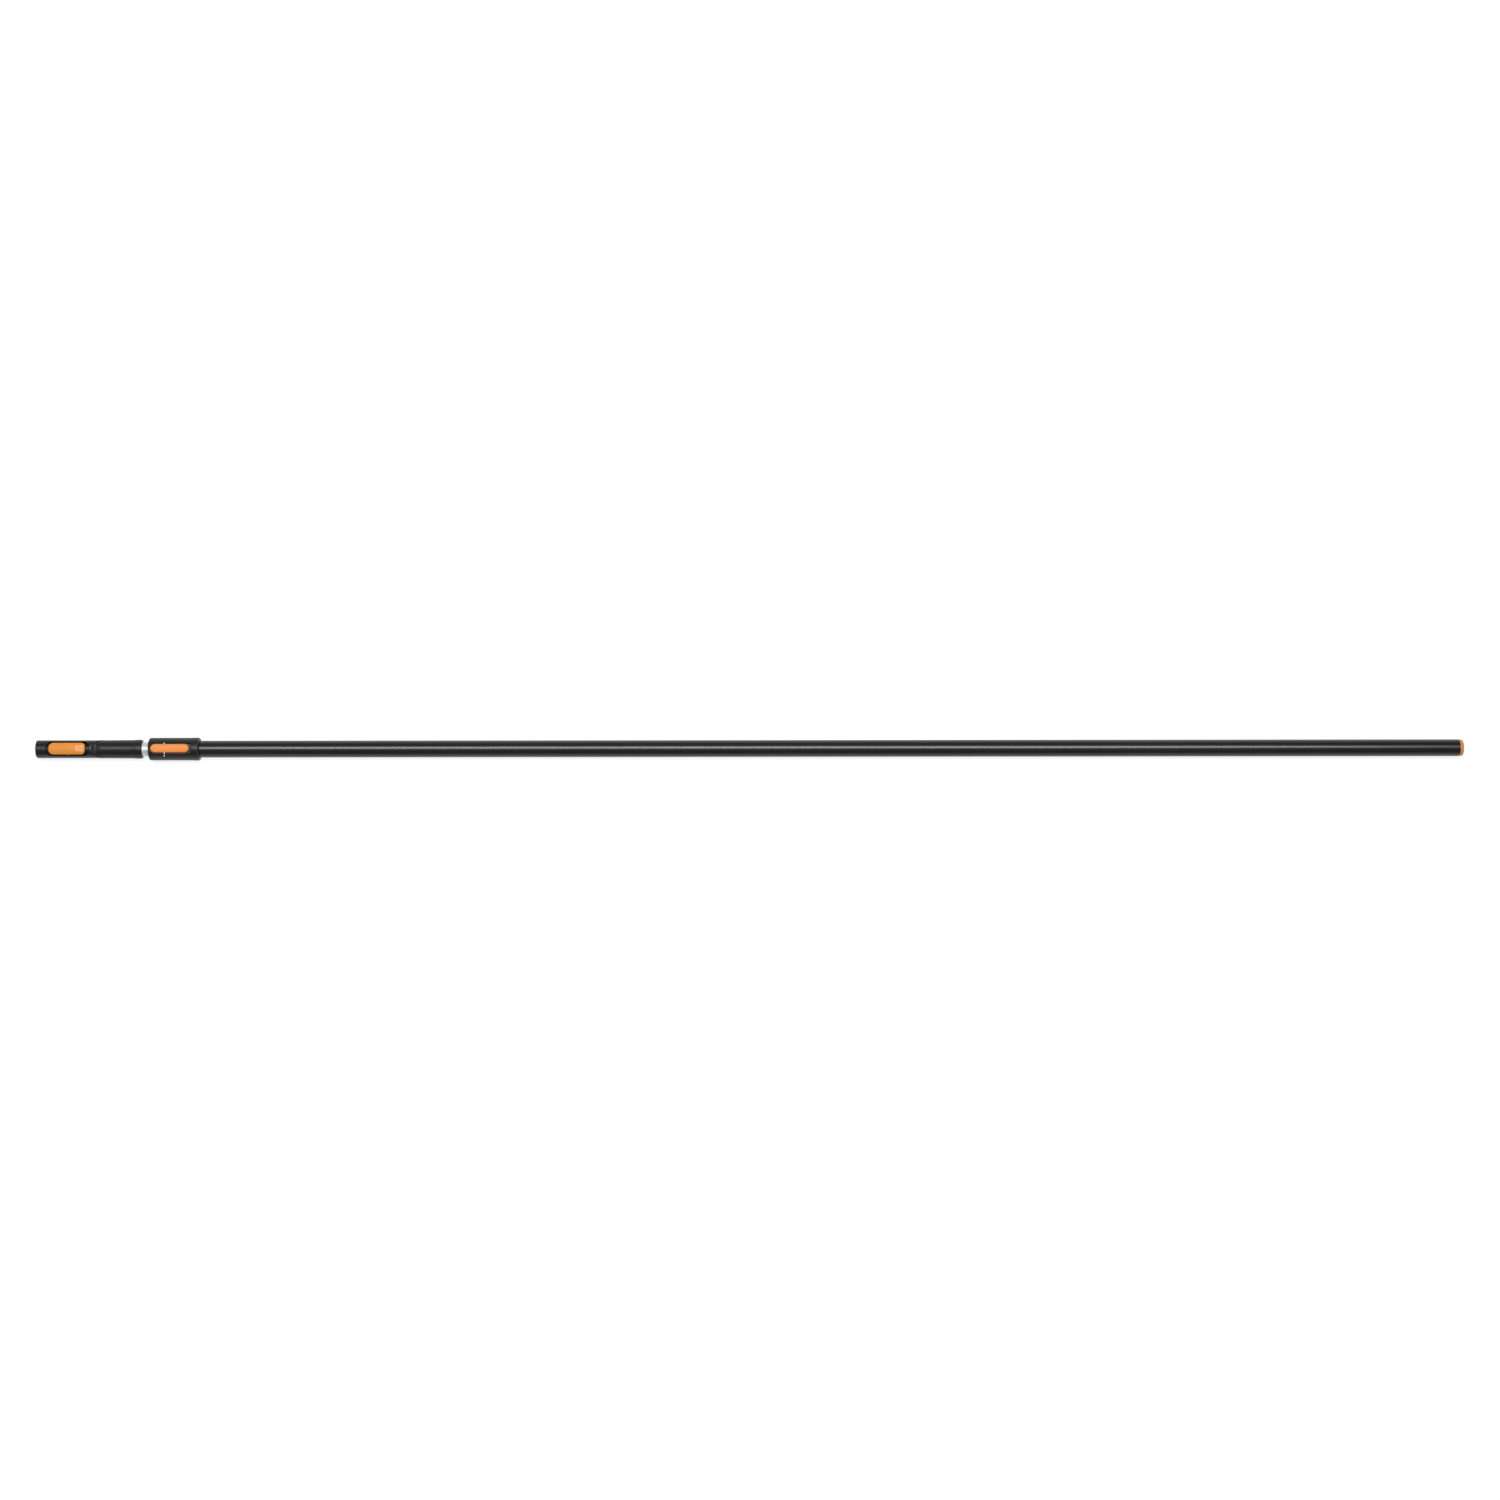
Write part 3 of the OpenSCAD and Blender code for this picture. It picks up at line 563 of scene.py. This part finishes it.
def coil(low, high, wire_r, turns, closed=0.9, sides=12, per_turn=28):
    """Points, faces and normals of an upright compression spring with closed end turns, inside a box."""
    centre_x = (low[0] + high[0]) / 2
    r = (high[1] - low[1]) / 2 - wire_r
    height = high[2] - low[2] - 2 * wire_r
    dead = 2 * wire_r * closed
    points, normals, faces = [], [], []
    steps = int(turns * per_turn)
    for i in range(steps + 1):
        turn = turns * i / steps
        lift = np.interp(turn, (0, closed, turns - closed, turns), (0, dead, height - dead, height))
        out = np.array([math.cos(2 * math.pi * turn), math.sin(2 * math.pi * turn), 0])
        centre = np.array([centre_x, 0, low[2] + wire_r + lift]) + r * out
        for k in range(sides):
            around = 2 * math.pi * k / sides
            normal = out * math.cos(around) + np.array([0, 0, math.sin(around)])
            points.append(centre + wire_r * normal)
            normals.append(normal)
        if i < steps:
            a, b = i * sides, (i + 1) * sides
            faces += [[a + k, a + (k + 1) % sides, b + (k + 1) % sides, b + k] for k in range(sides)]
    faces.append(list(range(sides))[::-1])
    faces.append([steps * sides + k for k in range(sides)])
    return points, faces, normals


# ---------------------------------------------------------------- materials

class Look:
    """A node material on the object's own coordinates, with helpers for its textures."""

    def __init__(self, name):
        self.material = bpy.data.materials.new(name)
        self.material.use_nodes = True
        self.nodes = self.material.node_tree.nodes
        self.links = self.material.node_tree.links
        self.shader = self.nodes["Principled BSDF"]
        self.where = self.nodes.new("ShaderNodeTexCoord").outputs["Object"]

    def set(self, **values):
        """Values that are the same all over, on the shader's own sockets."""
        for key, value in values.items():
            self.shader.inputs[key.replace("_", " ").title().replace("Ior", "IOR")].default_value = value

    def noise(self, per_mm, detail=3, stretch=(1, 1, 1), roughness=0.5):
        """Noise with so many features in a mm, drawn out where stretch is below 1."""
        mapping = self.nodes.new("ShaderNodeMapping")
        mapping.inputs["Scale"].default_value = stretch
        self.links.new(self.where, mapping.inputs["Vector"])
        texture = self.nodes.new("ShaderNodeTexNoise")
        texture.inputs["Scale"].default_value = per_mm / MM
        texture.inputs["Detail"].default_value = detail
        texture.inputs["Roughness"].default_value = roughness
        self.links.new(mapping.outputs["Vector"], texture.inputs["Vector"])
        return texture.outputs["Fac"]

    def spread(self, value, low, high, start=0.3, end=0.7):
        """A texture's value from start to end, mapped to low to high."""
        node = self.nodes.new("ShaderNodeMapRange")
        node.inputs["From Min"].default_value = start
        node.inputs["From Max"].default_value = end
        node.inputs["To Min"].default_value = low
        node.inputs["To Max"].default_value = high
        self.links.new(value, node.inputs["Value"])
        return node.outputs["Result"]

    def blend(self, share, first, second):
        """Mix of two colours by a value. Either may be a socket."""
        node = self.nodes.new("ShaderNodeMix")
        node.data_type = "RGBA"
        self.links.new(share, node.inputs["Factor"])
        for socket, colour in ((node.inputs[6], first), (node.inputs[7], second)):
            if isinstance(colour, bpy.types.NodeSocket):
                self.links.new(colour, socket)
            else:
                socket.default_value = (*colour, 1)
        return node.outputs[2]

    def times(self, first, second):
        """Product of two values."""
        node = self.nodes.new("ShaderNodeMath")
        node.operation = "MULTIPLY"
        self.links.new(first, node.inputs[0])
        self.links.new(second, node.inputs[1])
        return node.outputs["Value"]

    def relief(self, *layers):
        """Bumps laid one on another, each a height texture and its depth in mm."""
        normal = None
        for height, depth in layers:
            bump = self.nodes.new("ShaderNodeBump")
            bump.inputs["Strength"].default_value = 1
            bump.inputs["Distance"].default_value = depth * MM
            self.links.new(height, bump.inputs["Height"])
            if normal is not None:
                self.links.new(normal, bump.inputs["Normal"])
            normal = bump.outputs["Normal"]
        self.links.new(normal, self.shader.inputs["Normal"])

    def connect(self, **sockets):
        """Textures into the shader's own sockets."""
        for key, value in sockets.items():
            self.links.new(value, self.shader.inputs[key.replace("_", " ").title()])


def tinted(colour, factor):
    """A colour made darker or lighter by a factor."""
    return tuple(min(1, c * factor) for c in colour)


def moulded(name, colour, roughness, grain_per_mm, grain_depth, mottle=0.08, gloss=0.5, worn_x=None):
    """Moulded plastic: fine grain, slow tone changes, rubbed patches, smoother behind a worn line."""
    look = Look(name)
    look.set(specular_ior_level=gloss)
    slow = look.noise(0.03, 2)
    grain = look.noise(grain_per_mm, 2, roughness=0.6)
    tone = look.blend(look.spread(slow, 0, 1), tinted(colour, 1 - mottle), tinted(colour, 1 + mottle))
    pores = look.spread(grain, 0, 0.35, 0.55, 0.75)
    look.connect(base_color=look.blend(pores, tone, tinted(colour, 0.8)))
    rubbed = look.noise(0.12, 4, (0.35, 1, 1))
    rough = look.spread(rubbed, roughness - 0.05, roughness + 0.06)
    if worn_x is not None:
        place = look.nodes.new("ShaderNodeSeparateXYZ")
        look.links.new(look.where, place.inputs["Vector"])
        worn = look.spread(place.outputs["X"], 1, 0.62, worn_x * MM, (worn_x + 0.4) * MM)
        rough = look.times(rough, worn)
    look.connect(roughness=rough)
    look.relief((grain, grain_depth), (look.noise(0.25, 1), grain_depth * 2))
    return look.material


def coated_tube(name):
    """Black coating over drawn tube: faint orange peel, faint lines along the tube, rare light scuffs."""
    look = Look(name)
    colour = (0.0085, 0.0085, 0.0078)
    lines = look.noise(1.6, 3, (0.004, 1, 1))
    slow = look.noise(0.012, 3, (0.4, 1, 1))
    tone = look.blend(look.spread(slow, 0, 1), tinted(colour, 0.85), tinted(colour, 1.15))
    scuffs = look.spread(look.noise(0.5, 5, (0.05, 1, 1), 0.7), 0, 0.5, 0.68, 0.75)
    look.connect(base_color=look.blend(scuffs, tone, tinted(colour, 3)))
    look.connect(roughness=look.spread(lines, 0.27, 0.33))
    look.relief((lines, 0.004), (look.noise(0.9, 2), 0.006))
    return look.material


def drawn_metal(name, colour, roughness, stretch, metallic=1, depth=0.004):
    """Drawn or brushed metal, with its lines along the axis where stretch is low."""
    look = Look(name)
    look.set(metallic=metallic)
    lines = look.noise(2.2, 4, stretch, 0.65)
    slow = look.noise(0.05, 2)
    tone = look.blend(look.spread(slow, 0, 1), tinted(colour, 0.94), tinted(colour, 1.04))
    look.connect(base_color=look.blend(look.spread(lines, 0, 0.25), tone, tinted(colour, 0.8)))
    look.connect(roughness=look.spread(lines, roughness - 0.05, roughness + 0.07))
    look.relief((lines, depth), (look.noise(0.7, 2), depth))
    return look.material


def rubber(name, colour):
    """Matt rubber with a dusty bloom and a fine skin."""
    look = Look(name)
    bloom = look.noise(0.15, 4, roughness=0.6)
    look.connect(base_color=look.blend(look.spread(bloom, 0, 0.5), colour, tinted(colour, 1.7)))
    look.connect(roughness=look.spread(bloom, 0.75, 0.9))
    look.relief((look.noise(2.5, 3), 0.02))
    return look.material


ORANGE_BUTTON = (0.68, 0.238, 0.024)
ORANGE_LEVER = (0.76, 0.245, 0.04)
# The cap's orange is the lever's orange darkened: painted shade for the dimmer light at the pole's far end
ORANGE_CAP_SHADED = (0.54, 0.205, 0.034)
BLACK = (0.0085, 0.0087, 0.0093)
ALONG_TUBE = (0.004, 1, 1)
ACROSS_WIRE = (1, 0.05, 0.3)

LOOKS = {
    "coated_tube": coated_tube("coated_tube"),
    "bare_tube": drawn_metal("bare_tube", (0.66, 0.67, 0.69), 0.5, ALONG_TUBE, metallic=0.5),
    "black_nylon": moulded("black_nylon", BLACK, 0.4, 1.8, 0.012, gloss=0.36),
    "orange_button": moulded("orange_button", ORANGE_BUTTON, 0.6, 2.2, 0.005, 0.05, worn_x=THUMB_REST_X),
    "orange_lever": moulded("orange_lever", ORANGE_LEVER, 0.58, 2.2, 0.005, 0.05),
    # the cap's darker orange is painted shade, not a different plastic colour
    "orange_cap": moulded("orange_cap", ORANGE_CAP_SHADED, 0.42, 2.2, 0.005, 0.05),
    "pale_acetal": moulded("pale_acetal", (0.66, 0.64, 0.58), 0.35, 1.5, 0.004),
    "grey_wiper": moulded("grey_wiper", (0.1, 0.1, 0.105), 0.5, 1.8, 0.006),
    "steel": drawn_metal("steel", (0.4, 0.4, 0.41), 0.34, ACROSS_WIRE),
    "dark_steel": drawn_metal("dark_steel", (0.05, 0.05, 0.052), 0.4, ACROSS_WIRE, metallic=0.6),
    "shoe_alloy": drawn_metal("shoe_alloy", (0.66, 0.67, 0.69), 0.45, (1, 1, 1), depth=0.01),
    "rubber": rubber("rubber", (0.022, 0.022, 0.023)),
}

for row in frame["record"]["subparts"]:
    node = frame["nodes"][row["node"]]
    node.data.materials.clear()
    node.data.materials.append(LOOKS[row["material_slot"]])


# ---------------------------------------------------------------- pieces

slots = {row["node"]: row["material_slot"] for row in frame["record"]["subparts"]}


def moulded_piece(name, field, node, body, look, cell):
    """Piece from a field, meshed in cells of a size in mm, that stands for a CAD node."""
    low, high = box_mm(node)
    margin = 2 * np.array(cell)
    points, faces, normals = surface(field, low - margin, high + margin, cell)
    make_piece(name, points, faces, normals, LOOKS[look], body, [node], slots[node])


HEAD_CELL = (0.75, 0.55, 0.55)
COLLAR_CELL = (0.6, 0.55, 0.55)
LEVER_CELL = (0.4, 0.4, 0.4)
BUTTON_CELL = (0.35, 0.35, 0.35)

moulded_piece("head_moulding", head_field, "head_body", "inner_section", "black_nylon", HEAD_CELL)
moulded_piece("collar_moulding", collar_field, "collar_body", "outer_section", "black_nylon", COLLAR_CELL)
moulded_piece("lever_moulding", lever_field, "lock_lever", "lock_lever_assembly", "orange_lever", LEVER_CELL)
moulded_piece(
    "button_moulding",
    button_field,
    "release_button",
    "release_button_assembly",
    "orange_button",
    BUTTON_CELL,
)


def turned_piece(name, node, body, look, corners, radii, sides=96, steps=5):
    """Piece turned about the pole's axis that stands for a CAD node."""
    points, faces, normals = turned(corners, radii, sides, steps)
    make_piece(name, points, faces, normals, LOOKS[look], body, [node], look)


tube_bore = TUBE_R - OUTER_WALL
# the full width starts a little behind the collar
exposed_x = COLLAR_HIGH[0] + 0.4
turned_piece(
    "outer_tube_drawn",
    "outer_tube",
    "outer_section",
    "coated_tube",
    [
        (TUBE_LOW[0], tube_bore),
        (TUBE_HIGH[0], tube_bore),
        (TUBE_HIGH[0], TUBE_R),
        (exposed_x, TUBE_R),
        (exposed_x, SKIMMED_R),
        (TUBE_LOW[0], SKIMMED_R),
    ],
    [0.2, 0.3, 0.3, 0.15, 0.05, 0.2],
)

CAP_WALL = 2.2
plug_r = tube_bore - SEAT_GAP
hollow_r = tube_bore - CAP_WALL
flange_r = CAP_HIGH[1]
turned_piece(
    "end_cap_moulding",
    "end_cap",
    "outer_section",
    "orange_cap",
    [
        (CAP_LOW[0], hollow_r),
        (TUBE_HIGH[0], hollow_r),
        (TUBE_HIGH[0], 0),
        (CAP_HIGH[0], 0),
        (CAP_HIGH[0], flange_r),
        (TUBE_HIGH[0], flange_r),
        (TUBE_HIGH[0], plug_r),
        (CAP_LOW[0], plug_r),
    ],
    [0.3, 0.5, 0, 0, 3.8, 0.4, 0.1, 0.8],
    steps=10,
)

# Length and rise of the wiper's tapered mouth
WIPER_TAPER = (1.2, 0.7)
turned_piece(
    "wiper_lip",
    "wiper_ring",
    "outer_section",
    "grey_wiper",
    [
        (WIPER_LOW[0], INNER_R + WIPER_TAPER[1]),
        (WIPER_LOW[0] + WIPER_TAPER[0], INNER_R + RUNNING_GAP),
        (WIPER_HIGH[0], INNER_R + RUNNING_GAP),
        (WIPER_HIGH[0], WIPER_HIGH[1]),
        (WIPER_LOW[0], WIPER_HIGH[1]),
    ],
    [0.25, 0.3, 0.2, 0.2, 0.4],
)

outer_outline = keyed_round(INNER_R, KEY_HALF, KEY_DEPTH - INNER_R)
inner_outline = keyed_round(INNER_R - INNER_WALL, KEY_HALF + INNER_WALL, KEY_DEPTH + INNER_WALL - INNER_R)
make_piece(
    "inner_tube_drawn",
    *drawn(outer_outline, inner_outline, INNER_LOW[0], INNER_HIGH[0]),
    LOOKS["bare_tube"],
    "inner_section",
    ["inner_tube"],
    "bare_tube",
)


def spring_piece(name, node, body, low, high, wire_r, turns):
    """Coil spring inside its box, with a mesh of its own; the real spring shortens by what the lever or button
    sinks over its rear edge.
    """
    piece = make_piece(name, *coil(low, high, wire_r, turns), LOOKS["steel"], body, [node], "steel")
    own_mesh(piece)


spring_piece(
    "lever_coil",
    "lever_spring",
    "outer_section",
    LEVER_SPRING_LOW,
    LEVER_SPRING_HIGH,
    wire_r=0.4,
    turns=5,
)
spring_piece(
    "button_coil",
    "button_spring",
    "inner_section",
    BUTTON_SPRING_LOW,
    BUTTON_SPRING_HIGH,
    wire_r=0.35,
    turns=4,
)


# ---------------------------------------------------------------- floor, light and camera

def floor_look():
    """Pale floor with a faint unevenness, lit from below like a light table so that shadows stay soft."""
    look = Look("studio_floor")
    cloud = look.noise(0.002, 2)
    look.connect(base_color=look.blend(cloud, (0.2, 0.2, 0.2), (0.22, 0.22, 0.22)))
    look.set(roughness=0.9, specular_ior_level=0.1, emission_strength=0.86)
    return look.material


FLOOR_HALF = 20
floor_z = COLLAR_LOW[2] * MM
floor_mesh = bpy.data.meshes.new("studio_floor")
corners = [(x * FLOOR_HALF, y * FLOOR_HALF, floor_z) for x, y in ((-1, -1), (1, -1), (1, 1), (-1, 1))]
floor_mesh.from_pydata(corners, [], [(0, 1, 2, 3)])
floor_mesh.materials.append(floor_look())
floor = bpy.data.objects.new("studio_floor", floor_mesh)
bpy.context.scene.collection.objects.link(floor)

SKY_TOP = 0.12
SKY_EDGE = 0.9
# Height on the sky's unit sphere at which the fade ends
SKY_FADE = 0.35


def sky():
    """Studio surround: pale at the horizon, darker overhead."""
    world = bpy.data.worlds.new("studio")
    world.use_nodes = True
    bpy.context.scene.world = world
    nodes, links = world.node_tree.nodes, world.node_tree.links
    where = nodes.new("ShaderNodeTexCoord").outputs["Generated"]
    parts = nodes.new("ShaderNodeSeparateXYZ")
    links.new(where, parts.inputs["Vector"])
    fade = nodes.new("ShaderNodeMapRange")
    fade.interpolation_type = "SMOOTHSTEP"
    fade.inputs["From Min"].default_value = 0
    fade.inputs["From Max"].default_value = SKY_FADE
    fade.inputs["To Min"].default_value = SKY_EDGE
    fade.inputs["To Max"].default_value = SKY_TOP
    links.new(parts.outputs["Z"], fade.inputs["Value"])
    links.new(fade.outputs["Result"], nodes["Background"].inputs["Strength"])
    nodes["Background"].inputs["Color"].default_value = (1, 1, 1, 1)


sky()


def strip_light(name, x_from, x_to, y, z, width, power):
    """Long soft strip over the pole, facing its axis."""
    data = bpy.data.lights.new(name, "AREA")
    data.shape = "RECTANGLE"
    data.size = x_to - x_from
    data.size_y = width
    data.energy = power
    light = bpy.data.objects.new(name, data)
    light.location = ((x_from + x_to) / 2, y, z)
    light.rotation_euler = (-math.atan2(y, z), 0, 0)
    light.visible_camera = False
    bpy.context.scene.collection.objects.link(light)


# Strip light in metres: where it starts and ends, its height, angle round the pole, width and power
STRIP_START = -0.75
STRIP_END = 2.78
STRIP_HEIGHT = 3.0
STRIP_ANGLE = math.radians(10.5)
STRIP_WIDTH = 0.8
STRIP_POWER = 125
strip_y = STRIP_HEIGHT * math.tan(STRIP_ANGLE)
strip_light("key_strip", STRIP_START, STRIP_END, strip_y, STRIP_HEIGHT, STRIP_WIDTH, STRIP_POWER)

# Camera above the middle of the pole, in metres, leaning a little towards -Y
CAMERA_DISTANCE = 4.8
CAMERA_LEAN = math.radians(4.5)
CAMERA_ROLL = math.radians(-0.065)
LENS = 72
SENSOR = 36
AIM_Y = -0.0024
centre_x = (CAD_BOX[0][0] + CAD_BOX[1][0]) / 2

camera_data = bpy.data.cameras.new("camera")
camera_data.lens = LENS
camera_data.sensor_width = SENSOR
camera = bpy.data.objects.new("camera", camera_data)
bpy.context.scene.collection.objects.link(camera)
back = Vector((0, -math.sin(CAMERA_LEAN), math.cos(CAMERA_LEAN)))
camera.location = Vector((centre_x, AIM_Y, 0)) + back * CAMERA_DISTANCE
camera.rotation_mode = "QUATERNION"
aim = (-back).to_track_quat("-Z", "Y")
camera.rotation_quaternion = aim @ Quaternion((0, 0, 1), CAMERA_ROLL)
bpy.context.scene.camera = camera
bpy.context.scene.view_settings.view_transform = "Standard"
